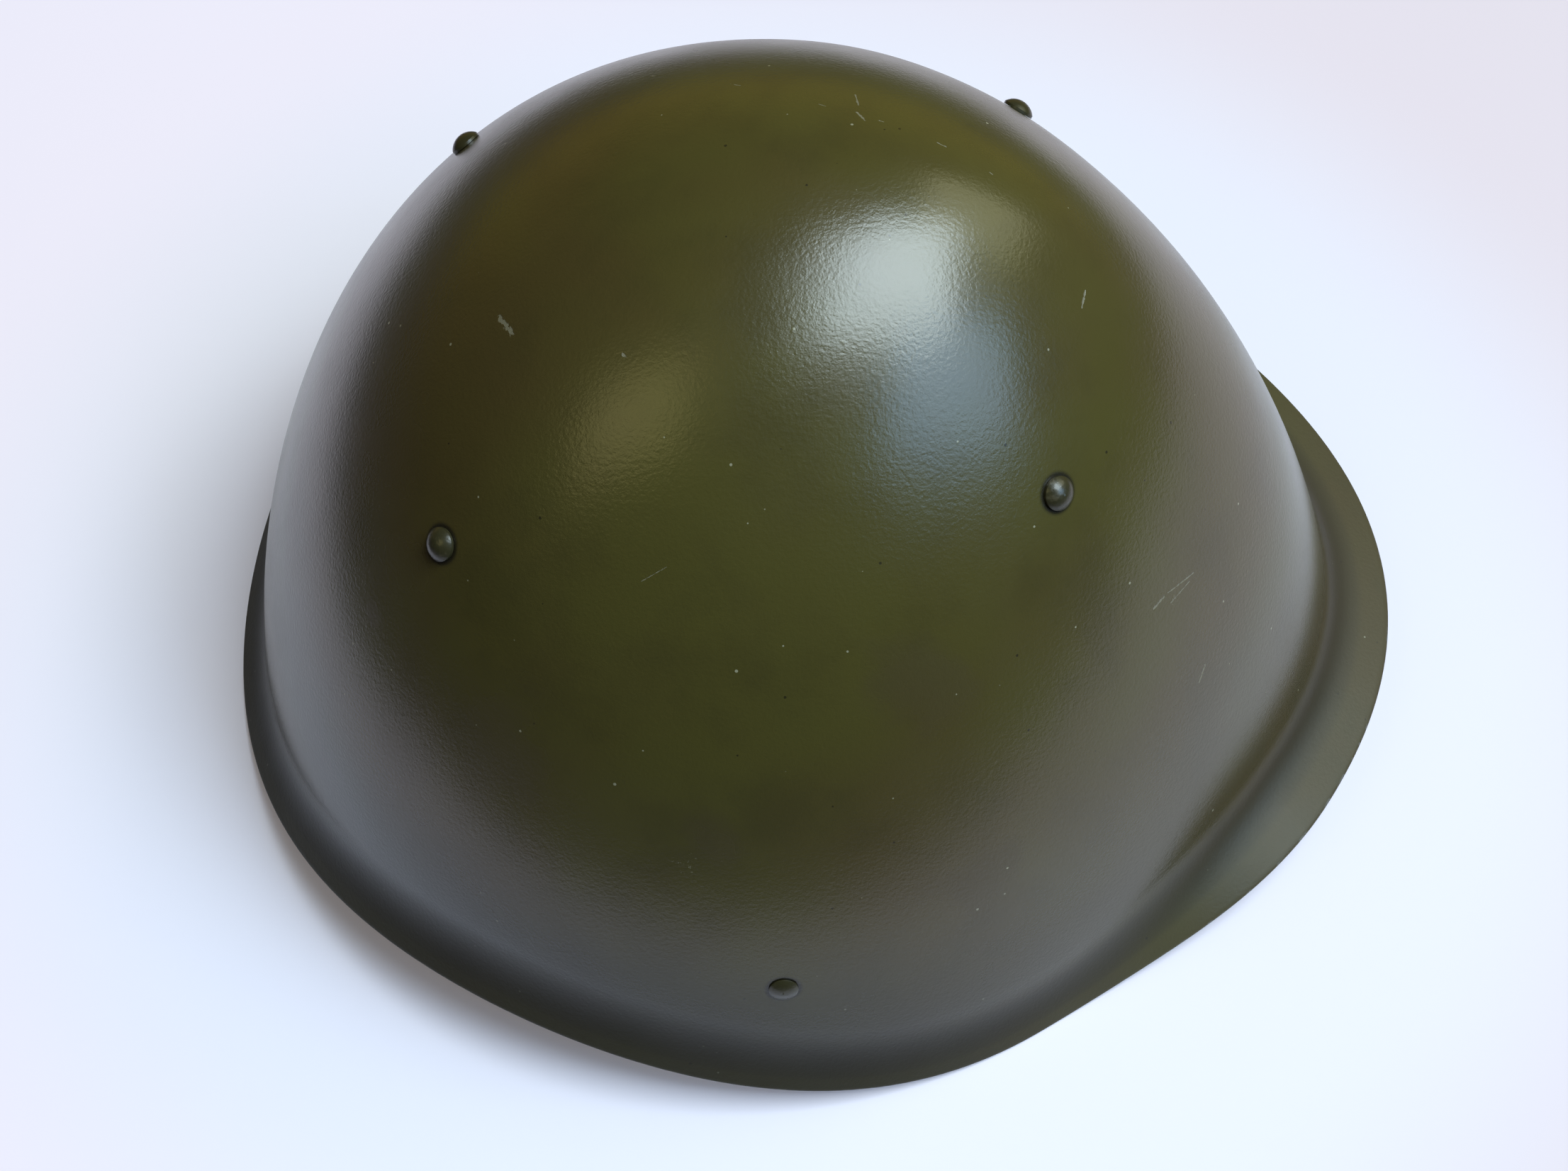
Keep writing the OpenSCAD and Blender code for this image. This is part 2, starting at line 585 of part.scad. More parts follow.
// Rings of bent wire, hanging from the brackets
module strap_ring_left() {
    half = ring_width / 2;
    color(zinc) translate(hinge) rotate([90, 0, 0])
        bent_wire([[-half, 0], [-half, -ring_drop], [half, -ring_drop], [half, 0]],
            ring_wire, ring_wire / 2);
}
module strap_ring_right() { right_side() strap_ring_left(); }

// Long strap: an eye round the ring's bar, a lap, a run on the surface, a fold and a punched tip.
// Its line is walked in the plane across the helmet, X inward from the ring's bar and Y upward.
strap_eye = ring_wire / 2 + soft_gap;
flat_z = strap_thick / 2 + 0.2;
lean = 8.5;
ease = 60;
fold = 6.5;
fall = ring_bar.z - flat_z - strap_thick / 2 * cos(lean) - ease * (1 - cos(lean));
back = 180 + asin((2 * fold - strap_thick - 0.5) / strap_return);
function arc(p, heading, radius, turn, count) = [for (i = [1 : count])
    let(h = heading + turn * i / count)
    p + radius * [sin(h) - sin(heading), cos(heading) - cos(h)]];
function ahead(heading) = [cos(heading), sin(heading)];
strap_start = strap_thick / 2 * [-sin(lean), -cos(lean)];
down_leg = strap_start + fall / sin(lean) * ahead(-lean);
ease_arc = arc(down_leg, -lean, ease, lean, 4);
run_end = ease_arc[3] + [strap_run, 0];
fold_arc = arc(run_end, 0, fold, back, 12);
return_shares = [0.3, 0.6, 0.86, 0.92, 0.96, 0.985, 1];
return_leg = [for (s = return_shares) fold_arc[11] + s * strap_return * ahead(back)];
strap_line = concat([strap_start, mix(strap_start, down_leg, 0.5), down_leg], ease_arc,
    [run_end], fold_arc, return_leg);
function from_bar(p) = [ring_bar.x, ring_bar.y - p.x, ring_bar.z + p.y];
function tip_width(i) =
    let(s = i < len(strap_line) - 4 ? 0 : (i - len(strap_line) + 5) / 4)
    strap_width * sqrt(1 - 0.85 * s * s);
lap_rivet = strap_lap * 0.55;
module on_left_strap(s, off) {
    translate(from_bar(s * ahead(-lean) + off * [sin(lean), cos(lean)]))
        rotate([lean, 0, 0]) children();
}
module strap_long() {
    path = [for (p = strap_line) from_bar(p)];
    t = tangents(path);
    color(leather) difference() {
        union() {
            strip(path, [for (d = t) cross([-1, 0, 0], d)],
                [for (i = [0 : len(path) - 1]) tip_width(i)], strap_thick);
            on_left_strap(0, 0) translate([-strap_width / 2, -strap_lap, 0])
                cube([strap_width, strap_lap, strap_thick]);
            translate(ring_bar) rotate([0, 90, 0])
                cylinder(r = strap_eye + strap_thick, h = strap_width, center = true, $fn = 48);
        }
        translate(ring_bar) rotate([0, 90, 0])
            cylinder(r = strap_eye, h = strap_width + 2, center = true, $fn = 48);
        on_left_strap(lap_rivet, 0) cylinder(r = lap_shank / 2 + play, h = 12, center = true, $fn = 32);
        for (i = [0 : strap_holes - 1])
            translate(from_bar(fold_arc[11] + (strap_return - 16 - hole_pitch * i) * ahead(back)))
                rotate([-back, 0, 0])
                cylinder(d = 3.4, h = strap_thick + 0.6, center = true, $fn = 32);
    }
}
lap_shank = 2.6;
module lap_rivet_at_origin() {
    translate([0, 0, strap_thick + play])
        rivet(lap_shank * 2.4, 1.3, 2 * strap_thick + 2 * play, lap_shank);
}
module strap_long_rivet() {
    color(zinc) on_left_strap(lap_rivet, 0) lap_rivet_at_origin();
}

// Short strap: doubled leather from the right ring to the buckle, with an eye at each end
buckle_eye = buckle_wire / 2 + soft_gap;
buckle_z = buckle_eye + strap_thick + 0.2;
short_lean = asin((ring_bar.z - buckle_z) / short_strap);
slot = buckle_wire * 1.7;
module on_right_strap(s, off) {
    translate([ring_bar.x, -ring_bar.y, ring_bar.z]) rotate([-short_lean, 0, 0])
        translate([0, s, off]) children();
}
module strap_short() {
    eye_end = buckle_eye + strap_thick;
    color(leather) on_right_strap(0, 0) difference() {
        union() {
            translate([-strap_width / 2, 0, -strap_thick])
                cube([strap_width, short_strap, 2 * strap_thick]);
            rotate([0, 90, 0])
                cylinder(r = strap_eye + strap_thick, h = strap_width, center = true, $fn = 48);
            translate([0, short_strap, 0]) rotate([0, 90, 0])
                cylinder(r = eye_end, h = strap_width, center = true, $fn = 48);
        }
        rotate([0, 90, 0])
            cylinder(r = strap_eye, h = strap_width + 2, center = true, $fn = 48);
        translate([0, short_strap, 0]) rotate([0, 90, 0])
            cylinder(r = buckle_eye, h = strap_width + 2, center = true, $fn = 48);
        translate([-slot / 2, short_strap - 2 * eye_end, -10]) cube([slot, 4 * eye_end, 20]);
        translate([0, short_rivet, 0])
            cylinder(r = lap_shank / 2 + play, h = 12, center = true, $fn = 32);
    }
}
short_rivet = strap_eye + strap_thick + 5;
module strap_short_rivet() {
    color(zinc) on_right_strap(short_rivet, 0) lap_rivet_at_origin();
}

// Sliding leather keeper on the short strap
keeper_long = 8;
keeper_wall = 1.4;
keeper_at = short_strap * 0.55;
module strap_keeper() {
    inside = [strap_width + 2 * soft_gap, 2 * (strap_thick + soft_gap)];
    color(leather) on_right_strap(keeper_at, 0) rotate([90, 0, 0])
        linear_extrude(keeper_long, center = true) difference() {
            square(inside + 2 * keeper_wall * [1, 1], center = true);
            square(inside, center = true);
        }
}

// Buckle: a wire frame on the short strap's eye and a prong on the same bar
buckle_tilt = asin((buckle_z - buckle_wire / 2 - 0.1) / buckle_length);
module on_buckle() {
    translate([ring_bar.x, -ring_bar.y + short_strap * cos(short_lean), buckle_z])
        rotate([-buckle_tilt, 0, 0]) children();
}
module buckle_frame() {
    half = buckle_width / 2;
    color(zinc) on_buckle()
        bent_wire([[-half, 0], [half, 0], [half, buckle_length], [-half, buckle_length]],
            buckle_wire * 1.3, buckle_wire / 2);
}
module buckle_prong() {
    bore = buckle_wire / 2 + play;
    pin = 1.1;
    color(zinc) on_buckle() {
        rotate([0, 90, 0]) difference() {
            cylinder(r = bore + pin, h = slot * 0.7, center = true, $fn = 48);
            cylinder(r = bore, h = slot, center = true, $fn = 48);
        }
        translate([0, 0, bore + pin]) rotate([-90, 0, 0])
            cylinder(r = pin, h = buckle_length + buckle_wire / 2, $fn = 32);
        translate([0, buckle_length + buckle_wire / 2, bore + pin]) sphere(r = pin, $fn = 32);
    }
}

steel_shell();
crown_rivet_front_left();
crown_rivet_front_right();
crown_rivet_rear_left();
crown_rivet_rear_right();
spring_front_left();
spring_front_right();
spring_rear_left();
spring_rear_right();
liner_hoop();
hoop_rivets();
head_band();
petal_front();
petal_rear();
petal_left();
petal_right();
petal_eyelets();
pad_front();
pad_rear();
pad_left();
pad_right();
side_rivet_left();
side_rivet_right();
strap_bracket_left();
strap_bracket_right();
strap_ring_left();
strap_ring_right();
strap_long();
strap_long_rivet();
strap_short();
strap_short_rivet();
strap_keeper();
buckle_frame();
buckle_prong();
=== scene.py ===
"""Looks of the steel helmet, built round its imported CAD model.

Lengths are in metres and angles in degrees, in the row frame: X to the visor, Z up.
"""

import math

import bmesh
import bpy
import numpy as np
from mathutils import Matrix, Vector
from mathutils.bvhtree import BVHTree


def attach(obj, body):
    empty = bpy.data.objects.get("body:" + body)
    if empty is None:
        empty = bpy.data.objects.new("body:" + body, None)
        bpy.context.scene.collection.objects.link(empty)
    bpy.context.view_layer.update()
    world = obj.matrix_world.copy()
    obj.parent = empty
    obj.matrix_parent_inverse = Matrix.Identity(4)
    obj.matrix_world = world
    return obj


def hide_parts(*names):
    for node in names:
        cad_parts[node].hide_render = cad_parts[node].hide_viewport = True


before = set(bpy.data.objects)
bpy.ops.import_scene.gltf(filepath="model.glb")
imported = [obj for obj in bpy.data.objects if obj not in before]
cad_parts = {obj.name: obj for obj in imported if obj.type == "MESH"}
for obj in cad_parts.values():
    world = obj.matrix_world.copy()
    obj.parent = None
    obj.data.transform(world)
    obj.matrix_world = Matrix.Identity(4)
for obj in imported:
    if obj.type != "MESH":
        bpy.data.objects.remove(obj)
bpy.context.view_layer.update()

MM = 0.001

# The photograph's camera, in the row frame
IMAGE = (2212, 1652)
CAMERA_TARGET = Vector((-0.00785, -0.02907, 0.060))
CAMERA_DISTANCE = 0.49260
CAMERA_AZIMUTH = -1.657
CAMERA_ELEVATION = 59.266
CAMERA_ROLL = 0.220
FOCAL_PIXELS = 3138.8
SENSOR = 36.0

# The shell, with the same sizes as the CAD model. Groups of three hold front, side and rear.
HALF_LENGTH, HALF_WIDTH = 129.5 * MM, 122 * MM
FRONT_TAPER, CORNER_TRIM = 0.03, 0.034
STEEL = 1.5 * MM
CROWN_HEIGHT, CROWN_FORWARD = 165.5 * MM, 6.5 * MM
CROWN_FULLNESS = (2.4, 1.85, 2.1)
WALL_FULLNESS = (1.55, 1.65, 1.88)
SLANT = (0.28, 0.115, 0.09)
BRIM_WIDTH = (16 * MM, 12 * MM, 12 * MM)
BRIM_SLOPE = (16, 67, 49)
VISOR_RISE, EAR_ARCH = 11 * MM, 20.5 * MM
VISOR_SPREAD, LOBE_ANGLE = 28, 67
FILLET_ARM, MOST_FILLET = 8 * MM, 0.7
RIVETS = {"front": (49.5, 39.7 * MM), "rear": (144, 49.7 * MM)}
SIDE_RIVET_ANGLE, SIDE_RIVET_HEIGHT = 93, 44 * MM
CROWN_HEAD, SIDE_HEAD = 6.8 * MM, 6.2 * MM


def rim_reach(slope, width):
    """How far the rim reaches from the outline's middle, at the front or the rear."""
    edge = math.radians(slope)
    return HALF_LENGTH + width * math.cos(edge) + STEEL / 2 * (1 - math.sin(edge))


MIDDLE = (rim_reach(BRIM_SLOPE[0], BRIM_WIDTH[0]) - rim_reach(BRIM_SLOPE[2], BRIM_WIDTH[2])) / 2


# Camera

def camera_axes():
    """Right, up and back of the photograph's camera, and the point it looks from."""
    azimuth, elevation = math.radians(CAMERA_AZIMUTH), math.radians(CAMERA_ELEVATION)
    back = Vector((math.sin(azimuth) * math.cos(elevation),
                   -math.cos(azimuth) * math.cos(elevation), math.sin(elevation)))
    level = (-back).cross(Vector((0, 0, 1))).normalized()
    upright = level.cross(-back)
    roll = math.radians(CAMERA_ROLL)
    right = level * math.cos(roll) + upright * math.sin(roll)
    up = -level * math.sin(roll) + upright * math.cos(roll)
    return right, up, back, CAMERA_TARGET + back * CAMERA_DISTANCE


def make_camera():
    right, up, back, place = camera_axes()
    data = bpy.data.cameras.new("camera")
    data.sensor_width = SENSOR
    data.lens = FOCAL_PIXELS / IMAGE[0] * SENSOR
    data.clip_start, data.clip_end = 0.01, 50
    camera = bpy.data.objects.new("camera", data)
    turn = Matrix((right, up, back)).transposed().to_4x4()
    camera.matrix_world = Matrix.Translation(place) @ turn
    bpy.context.scene.collection.objects.link(camera)
    bpy.context.scene.camera = camera


def photo_ray(x, y):
    """Start and direction of the ray through a pixel of the photograph."""
    right, up, back, place = camera_axes()
    across = (x - IMAGE[0] / 2) / FOCAL_PIXELS
    rise = (IMAGE[1] / 2 - y) / FOCAL_PIXELS
    return place, (right * across + up * rise - back).normalized()


# Formulas of the shell; a is an array of angles round the helmet from its front, in degrees

def cosd(a):
    return np.cos(np.radians(a))


def sind(a):
    return np.sin(np.radians(a))


def fade(u):
    """1 up to u = 0, falling smoothly to 0 at u = 1."""
    return cosd(90 * np.clip(u, 0, 1)) ** 2


def off(a):
    """The angle from the front, 0 to 180 on either side."""
    return np.abs((a + 180) % 360 - 180)


def visor(a):
    """1 across the visor, 0 from the side lobes backward."""
    return fade((off(a) - VISOR_SPREAD) / (LOBE_ANGLE - VISOR_SPREAD))


def behind(a):
    """0 up to the side lobes, growing evenly to 1 at the rear."""
    return np.clip((off(a) - LOBE_ANGLE) / (180 - LOBE_ANGLE), 0, 1)


def round_rim(a, values):
    """A measure of the rim that changes from front to side to rear."""
    front, side, rear = values
    return side + (front - side) * visor(a) + (rear - side) * (1 - fade(behind(a)))


def round_dome(a, values):
    """A measure of the dome that changes from front to side to rear."""
    front, side, rear = values
    return side + (front - side) * np.maximum(cosd(a), 0) ** 2 + \
        (rear - side) * np.maximum(-cosd(a), 0) ** 2


def unit(v):
    return v / np.linalg.norm(v, axis=-1, keepdims=True)


def outline(a):
    """The plan of the wall's foot."""
    trim = 1 - CORNER_TRIM * (1 + cosd(a)) * sind(2 * a) ** 2
    return np.stack([HALF_LENGTH * cosd(a) * trim - MIDDLE,
                     HALF_WIDTH * sind(a) * (1 - FRONT_TAPER * cosd(a)) * trim], -1)


def outline_normal(a):
    along = unit(outline(a + 0.05) - outline(a - 0.05))
    return np.stack([along[:, 1], -along[:, 0]], -1)


def edge_z(a):
    """Height of the rim's edge."""
    return VISOR_RISE * visor(a) + EAR_ARCH * sind(180 * behind(a)) ** 2 + \
        STEEL / 2 * (1 + cosd(round_rim(a, BRIM_SLOPE)))


def root_z(a):
    """Height at which the wall's line meets the brim's."""
    return edge_z(a) + round_rim(a, BRIM_WIDTH) * sind(round_rim(a, BRIM_SLOPE))


def brim(a, s):
    """Top face of the brim, from its root at s = 0 to the rim at s = 1."""
    width, slope = round_rim(a, BRIM_WIDTH), round_rim(a, BRIM_SLOPE)
    flat = outline(a) + outline_normal(a) * (width * cosd(slope) * s)[:, None]
    return np.column_stack([flat, root_z(a) - width * sind(slope) * s])


def dome(a, t):
    """Outer face of the dome, from the crown at t = 0 down to the wall's foot at t = 90."""
    slant = round_dome(a, SLANT)
    fall = 1 - np.maximum(cosd(t), 0) ** (2 / round_dome(a, WALL_FULLNESS))
    spread_out = (1 - slant) * sind(t) ** (2 / round_dome(a, CROWN_FULLNESS)) + slant * fall
    top = CROWN_FORWARD - MIDDLE
    flat = outline(a)
    return np.stack([top + (flat[:, 0] - top) * spread_out, flat[:, 1] * spread_out,
                     CROWN_HEIGHT - (CROWN_HEIGHT - root_z(a)) * fall], -1)


def dome_t(a, z):
    """The t at which the dome has a height."""
    share = np.maximum(0, (z - root_z(a)) / (CROWN_HEIGHT - root_z(a)))
    return np.degrees(np.arccos(share ** (round_dome(a, WALL_FULLNESS) / 2)))


def bezier(p, q, r, s):
    return p * (1 - s) ** 2 + q * 2 * s * (1 - s) + r * s * s


def fillet_share(a):
    """The share of the brim's width that the fillet takes."""
    return np.minimum(MOST_FILLET, FILLET_ARM / round_rim(a, BRIM_WIDTH))


def face(a, v):
    """Outer face: dome for v up to 1, fillet up to 2, brim up to 3."""
    low = dome_t(a, root_z(a) + FILLET_ARM)
    share = fillet_share(a)
    if v <= 1:
        return dome(a, low * v)
    if v <= 2:
        return bezier(dome(a, low), brim(a, 0 * a), brim(a, share), v - 1)
    return brim(a, share + (1 - share) * (v - 2))


def face_normal(a, v):
    """Outward normal of the outer face. The step across v ends at the crown."""
    down = face(a, v + 0.01) - face(a, max(v - 0.01, 0))
    return unit(np.cross(down, face(a + 0.05, v) - face(a - 0.05, v)))


def on_wall(angle, z):
    """The point of the outer dome at an angle and a height."""
    a = np.array([float(angle)])
    return Vector(dome(a, dome_t(a, z))[0])


# Mesh helpers

def make_object(name, points, faces, smooth=True):
    """A new object in the scene, made of points and faces."""
    mesh = bpy.data.meshes.new(name)
    mesh.from_pydata([tuple(p) for p in points], [], faces)
    mesh.validate()
    for polygon in mesh.polygons:
        polygon.use_smooth = smooth
    piece = bpy.data.objects.new(name, mesh)
    bpy.context.scene.collection.objects.link(piece)
    return piece


def apply_modifiers(piece):
    """Bakes the modifiers of a piece into its mesh."""
    graph = bpy.context.evaluated_depsgraph_get()
    mesh = bpy.data.meshes.new_from_object(piece.evaluated_get(graph))
    piece.modifiers.clear()
    piece.data = mesh


def skin_rings(rings):
    """Points and faces of rings joined one to the next, both ends closed by fans."""
    count = len(rings)
    size = len(rings[0])
    points = list(np.concatenate(rings)) + [rings[0].mean(0), rings[-1].mean(0)]
    faces = []
    for j in range(count - 1):
        for i in range(size):
            k = (i + 1) % size
            faces.append((j * size + i, j * size + k, (j + 1) * size + k, (j + 1) * size + i))
    first, last = count * size, count * size + 1
    for i in range(size):
        k = (i + 1) % size
        faces.append((k, i, first))
        faces.append(((count - 1) * size + i, (count - 1) * size + k, last))
    return points, faces


# Shell

SHELL_ANGLES = 288
CROWN_ROW, DOME_ROWS, FILLET_ROWS, BRIM_ROWS = 0.006, 60, 10, 8
RIM_TURNS = (60, 30, 0, -30, -60)
RIM_VALUE, RIM_NEIGHBOUR_VALUE = 1, 0.5
LOW_AT_RIM = 2


def shell_rows():
    dome_rows = [i / DOME_ROWS for i in range(1, DOME_ROWS + 1)]
    fillet_rows = [1 + i / FILLET_ROWS for i in range(1, FILLET_ROWS + 1)]
    brim_rows = [2 + i / BRIM_ROWS for i in range(1, BRIM_ROWS + 1)]
    return [CROWN_ROW] + dome_rows + fillet_rows + brim_rows


def add_attribute(piece, name, values):
    piece.data.attributes.new(name, "FLOAT", "POINT").data.foreach_set("value", values)


def make_shell():
    """The pressed shell with a rounded rim.

    Its points carry "rim", which is 1 on the rim, and "low", which grows from -1 near the crown
    to 0 at the foot of the dome, 1 at the end of the fillet and 2 on the rim. The inner face and
    the points in the middle of the crown have 0 in both.
    """
    a = np.arange(SHELL_ANGLES) * 360 / SHELL_ANGLES
    rows = shell_rows()
    outer = [face(a, v) for v in rows]
    inner = [face(a, v) - face_normal(a, v) * STEEL for v in reversed(rows)]
    normal = face_normal(a, 3)
    edge = brim(a, np.ones_like(a))
    out = unit(edge - brim(a, np.zeros_like(a)))
    rim = [edge + normal * (math.sin(w) - 1) * STEEL / 2 + out * math.cos(w) * STEEL / 2
           for w in np.radians(RIM_TURNS)]
    points, faces = skin_rings(outer + rim + inner)
    shell = make_object("shell_visual", points, faces)

    first = len(outer) * SHELL_ANGLES
    last = first + len(rim) * SHELL_ANGLES
    bare = np.zeros(len(points), np.float32)
    bare[first:last] = RIM_VALUE
    bare[first - SHELL_ANGLES:first] = RIM_NEIGHBOUR_VALUE
    add_attribute(shell, "rim", bare)
    low = np.zeros(len(points), np.float32)
    for j, v in enumerate(rows):
        low[j * SHELL_ANGLES:(j + 1) * SHELL_ANGLES] = v - 1
    low[first:last] = LOW_AT_RIM
    add_attribute(shell, "low", low)
    return shell


# Materials

def add_node(tree, kind, inputs=None, **settings):
    """A shader node with its settings, its inputs set to values or linked from sockets."""
    node = tree.nodes.new("ShaderNode" + kind)
    for name, value in settings.items():
        setattr(node, name, value)
    for name, value in (inputs or {}).items():
        if isinstance(value, bpy.types.NodeSocket):
            tree.links.new(value, node.inputs[name])
        else:
            node.inputs[name].default_value = value
    return node


def new_material(name):
    """A material with a Principled shader, and its place in the row frame."""
    material = bpy.data.materials.new(name)
    material.use_nodes = True
    tree = material.node_tree
    place = add_node(tree, "TexCoord").outputs["Object"]
    return material, tree, tree.nodes["Principled BSDF"], place


def noise(tree, place, scale, detail=2, roughness=0.5, distortion=0.0):
    return add_node(tree, "TexNoise", {"Vector": place, "Scale": scale, "Detail": detail,
                                       "Roughness": roughness, "Distortion": distortion}).outputs["Fac"]


def spread(tree, value, low, high, to_low=0.0, to_high=1.0):
    """A smooth change from to_low to to_high as the value goes from low to high."""
    return add_node(tree, "MapRange", {"Value": value, "From Min": low, "From Max": high,
                                       "To Min": to_low, "To Max": to_high},
                    interpolation_type="SMOOTHSTEP").outputs["Result"]


def calculate(tree, operation, a, b=0.0):
    return add_node(tree, "Math", {0: a, 1: b}, operation=operation).outputs[0]


def mix_colour(tree, factor, a, b):
    """Colour a where the factor is 0, colour b where it is 1."""
    node = add_node(tree, "Mix", data_type="RGBA")
    for socket, value in ((node.inputs[0], factor), (node.inputs[6], a), (node.inputs[7], b)):
        if isinstance(value, bpy.types.NodeSocket):
            tree.links.new(value, socket)
        else:
            socket.default_value = value if socket.type == "VALUE" else (*value, 1.0)
    return node.outputs[2]


def bump(tree, height, distance, strength=1.0, normal=None):
    """A normal tilted by a height, on top of another bump if one is given."""
    inputs = {"Height": height, "Distance": distance, "Strength": strength}
    if normal is not None:
        inputs["Normal"] = normal
    return add_node(tree, "Bump", inputs).outputs["Normal"]


def distance_to(tree, place, point):
    return add_node(tree, "VectorMath", {0: place, 1: point}, operation="DISTANCE").outputs["Value"]


SCRAPE_EDGE_SCALE, SCRAPE_RAGGEDNESS = 1400, 0.5


def line_mask(tree, place, start, end, width):
    """1 on a thin line on the surface from start to end, ragged at its edges, 0 elsewhere."""
    along = end - start
    rel = add_node(tree, "VectorMath", {0: place, 1: tuple(start)}, operation="SUBTRACT").outputs[0]
    dot = add_node(tree, "VectorMath", {0: rel, 1: tuple(along / along.length_squared)},
                   operation="DOT_PRODUCT").outputs["Value"]
    share = add_node(tree, "Clamp", {"Value": dot}).outputs[0]
    foot = add_node(tree, "VectorMath", {0: tuple(along), "Scale": share},
                    operation="SCALE").outputs[0]
    gap = distance_to(tree, rel, foot)
    ragged = spread(tree, noise(tree, place, SCRAPE_EDGE_SCALE, 2), 0.35, 0.65,
                    1 - SCRAPE_RAGGEDNESS, 1 + SCRAPE_RAGGEDNESS)
    wide = calculate(tree, "MULTIPLY", ragged, width)
    return spread(tree, calculate(tree, "DIVIDE", gap, wide), 0.7, 1.2, 1.0, 0.0)


def spot_mask(tree, place, centre, radius, soft=0.6, ragged=0.35, scale=160):
    """1 in a ragged spot on the surface, 0 outside it."""
    gap = distance_to(tree, place, tuple(centre))
    wobble = spread(tree, noise(tree, place, scale, 3), 0.25, 0.75, 1 - ragged, 1 + ragged)
    ratio = calculate(tree, "DIVIDE", gap, calculate(tree, "MULTIPLY", wobble, radius))
    return spread(tree, ratio, 1 - soft, 1.0, 1.0, 0.0)


def strongest(tree, masks):
    """The highest of some masks at each place."""
    result = masks[0]
    for mask in masks[1:]:
        result = calculate(tree, "MAXIMUM", result, mask)
    return result


WHITE, BLACK = (1.0, 1.0, 1.0), (0.0, 0.0, 0.0)

# Colours of the paint, of what lies on it or shows through it, and of the painted shade on it
OLIVE, OLIVE_BROWN, OLIVE_DARK = (0.062, 0.053, 0.0125), (0.060, 0.042, 0.0125), (0.041, 0.034, 0.0100)
BLOTCH_BROWN, PALE_SCRAPE, BARE_STEEL = (0.050, 0.036, 0.016), (0.19, 0.17, 0.115), (0.20, 0.19, 0.17)
DIRT_AND_SHADE, DUST = (0.010, 0.008, 0.005), (0.32, 0.30, 0.21)
RIVET_OLIVE, RIVET_RUBBED = (0.030, 0.026, 0.011), (0.080, 0.064, 0.034)

# Gloss of the paint: roughness from clean to smeared, and what wear, blotches and the brim add
PAINT_ROUGHNESS = (0.225, 0.285)
WORN_ROUGHNESS, BLOTCH_ROUGHNESS, BRIM_ROUGHNESS = 0.2, 0.05, 0.32
PAINT_SPECULAR = 0.62

# How strongly each kind of dirt and painted shade covers the paint. Blotches, specks and scrapes are
# dirt and wear; the rings round the rivets, the crease and the low parts are painted shade. Low down
# the painted shade is strongest behind the first of the two X below, and weakest in front of the
# second.
BLOTCH_COVER, RING_SHADE_COVER, SPECK_COVER, SCRAPE_COVER, CREASE_SHADE_COVER = 0.4, 0.92, 0.7, 0.8, 0.55
LOW_SHADE_FROM, LOW_SHADE_TO = 0.0, 0.10
LOW_SHADE_COVER = (0.72, 0.15)

# Marks on the paint. Scrapes run between two pixels of the photograph and have a half width in
# millimetres. Scuffs and blotches lie round one pixel and have a radius in millimetres.
SCRAPES = [((705, 448), (722, 470), 0.50), ((880, 500), (882, 502), 0.30),
           ((920, 107), (1040, 120), 0.11), ((1040, 120), (1165, 150), 0.09),
           ((1207, 134), (1211, 148), 0.16), ((1209, 158), (1220, 170), 0.18),
           ((1240, 170), (1330, 205), 0.10), ((1330, 205), (1400, 246), 0.09),
           ((1531, 410), (1526, 434), 0.16), ((1628, 858), (1642, 842), 0.22),
           ((1648, 836), (1684, 808), 0.13), ((1652, 850), (1678, 820), 0.11),
           ((1692, 962), (1700, 938), 0.20), ((905, 820), (940, 800), 0.07)]
SCUFFS = [((1650, 838), 4.0), ((970, 1218), 2.6), ((956, 1222), 2.0), ((1694, 950), 1.8)]
BLOTCHES = [((1385, 1245), 13), ((1420, 1215), 8), ((527, 866), 3.5), ((700, 1050), 16),
            ((1300, 950), 15), ((1010, 1190), 9)]


def olive(tree, place):
    """Colour of the old paint, mottled from olive to brown."""
    tone = spread(tree, noise(tree, place, 11, 3, 0.55), 0.35, 0.68)
    patch = spread(tree, noise(tree, place, 42, 5, 0.6), 0.42, 0.72)
    colour = mix_colour(tree, tone, OLIVE, OLIVE_BROWN)
    return mix_colour(tree, calculate(tree, "MULTIPLY", patch, 0.45), colour, OLIVE_DARK)


def orange_peel(tree, place):
    """The fine uneven skin of sprayed paint: broad waves and a finer grain on them."""
    waves = bump(tree, noise(tree, place, 560, 1, 0.5), 0.06 * MM, 0.20)
    return bump(tree, noise(tree, place, 1200, 2, 0.6), 0.09 * MM, 0.60, waves)


def rivet_paint():
    """The paint of the rivet heads, dirty and rubbed in patches."""
    material, tree, shader, place = new_material("rivet_paint")
    rub = spread(tree, noise(tree, place, 300, 4, 0.65), 0.56, 0.68)
    colour = mix_colour(tree, calculate(tree, "MULTIPLY", rub, 0.5), RIVET_OLIVE, RIVET_RUBBED)
    tree.links.new(colour, shader.inputs["Base Color"])
    tree.links.new(spread(tree, rub, 0.0, 1.0, 0.30, 0.42), shader.inputs["Roughness"])
    tree.links.new(orange_peel(tree, place), shader.inputs["Normal"])
    return material


def rivet_shade_rings(tree, place, rivets):
    """1 close round each rivet's head, where a ring of painted shade darkens the paint."""
    rings = []
    for centre, head in rivets:
        gap = distance_to(tree, place, tuple(centre))
        rings.append(spread(tree, gap, head / 2 + 0.2 * MM, head / 2 + 1.3 * MM, 1.0, 0.0))
    return strongest(tree, rings)


